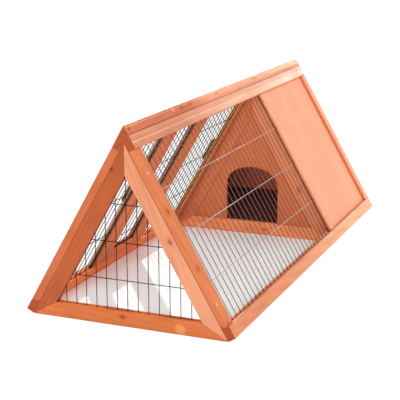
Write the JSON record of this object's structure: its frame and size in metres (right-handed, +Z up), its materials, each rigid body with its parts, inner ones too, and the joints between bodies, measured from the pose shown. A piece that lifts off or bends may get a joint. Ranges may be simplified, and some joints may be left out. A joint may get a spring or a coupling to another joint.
{
  "type": "outdoor rabbit run",
  "caption": "A-frame wooden run with welded wire mesh sides, a boarded shelter behind an arched doorway, and top-hinged flap doors held by turn buttons.",
  "frame": {"origin": "middle of the footprint, on the ground", "axes": "+X to the right seen from the mesh gable, +Y along the ridge from the mesh gable to the shelter, +Z up"},
  "size_m": [0.499, 1.165, 0.4416],
  "materials": {
    "timber": "stained softwood, satin",
    "pale_timber": "stained softwood, sunlit side, satin",
    "board": "stained plywood, satin",
    "inner_board": "stained plywood, matt",
    "button_timber": "dark stained hardwood",
    "side_wire": "galvanised welded wire",
    "front_wire": "dark coated welded wire",
    "zinc": "zinc plated steel"
  },
  "bodies": {
    "run_frame": {"button_screw_1": "zinc", "button_screw_2": "zinc", "button_screw_3": "zinc", "button_screw_4": "zinc", "front_bottom_rail": "timber", "front_left_leg": "timber", "front_mesh": "front_wire", "front_right_leg": "pale_timber", "left_bottom_rail": "timber", "left_door_front_stile": "timber", "left_door_rear_stile": "timber", "left_front_mesh": "side_wire", "left_front_stile": "timber", "left_rear_mesh": "side_wire", "left_rear_stile": "timber", "left_shelter_stile": "timber", "left_top_rail": "timber", "mesh_door_front_hinge_frame_leaf": "zinc", "mesh_door_front_hinge_pin": "zinc", "mesh_door_rear_hinge_frame_leaf": "zinc", "mesh_door_rear_hinge_pin": "zinc", "partition_left_batten": "timber", "partition_panel": "inner_board", "partition_rail": "timber", "partition_right_batten": "timber", "rear_bottom_rail": "timber", "rear_left_leg": "timber", "rear_panel": "board", "rear_right_leg": "timber", "right_bottom_rail": "pale_timber", "right_front_stile": "timber", "right_mesh": "side_wire", "right_rear_stile": "timber", "right_shelter_panel": "board", "right_shelter_stile": "timber", "right_top_rail": "pale_timber", "shelter_door_front_hinge_frame_leaf": "zinc", "shelter_door_front_hinge_pin": "zinc", "shelter_door_rear_hinge_frame_leaf": "zinc", "shelter_door_rear_hinge_pin": "zinc", "shelter_floor": "inner_board"},
    "mesh_door": {"mesh_door_bottom_rail": "timber", "mesh_door_front_hinge_door_leaf": "zinc", "mesh_door_front_stile": "timber", "mesh_door_mesh": "side_wire", "mesh_door_rear_hinge_door_leaf": "zinc", "mesh_door_rear_stile": "timber", "mesh_door_top_rail": "timber"},
    "shelter_door": {"shelter_door_bottom_rail": "timber", "shelter_door_front_hinge_door_leaf": "zinc", "shelter_door_front_stile": "timber", "shelter_door_panel": "board", "shelter_door_rear_hinge_door_leaf": "zinc", "shelter_door_rear_stile": "timber", "shelter_door_top_rail": "timber"},
    "turn_button_1": {"turn_button_1": "button_timber"},
    "turn_button_2": {"turn_button_2": "button_timber"},
    "turn_button_3": {"turn_button_3": "button_timber"},
    "turn_button_4": {"turn_button_4": "button_timber"}
  },
  "joints": [
    {"name": "mesh_door_hinge", "type": "hinge", "parent": "run_frame", "child": "mesh_door", "pos_m": [-0.02948, -0.1955, 0.39545], "axis": [0, 1, 0], "range_deg": [0, 188]},
    {"name": "shelter_door_hinge", "type": "hinge", "parent": "run_frame", "child": "shelter_door", "pos_m": [-0.02948, 0.37775, 0.39545], "axis": [0, 1, 0], "range_deg": [0, 188]},
    {"name": "turn_button_1_pivot", "type": "hinge", "parent": "run_frame", "child": "turn_button_1", "pos_m": [-0.11293, -0.311, 0.24791], "axis": [0.866, 0, -0.5], "range_deg": [0, 90]},
    {"name": "turn_button_2_pivot", "type": "hinge", "parent": "run_frame", "child": "turn_button_2", "pos_m": [-0.11293, -0.08, 0.24791], "axis": [-0.866, 0, 0.5], "range_deg": [0, 90]},
    {"name": "turn_button_3_pivot", "type": "hinge", "parent": "run_frame", "child": "turn_button_3", "pos_m": [-0.11293, 0.191, 0.24791], "axis": [0.866, 0, -0.5], "range_deg": [0, 90]},
    {"name": "turn_button_4_pivot", "type": "hinge", "parent": "run_frame", "child": "turn_button_4", "pos_m": [-0.11293, 0.5645, 0.24791], "axis": [-0.866, 0, 0.5], "range_deg": [0, 90]}
  ]
}
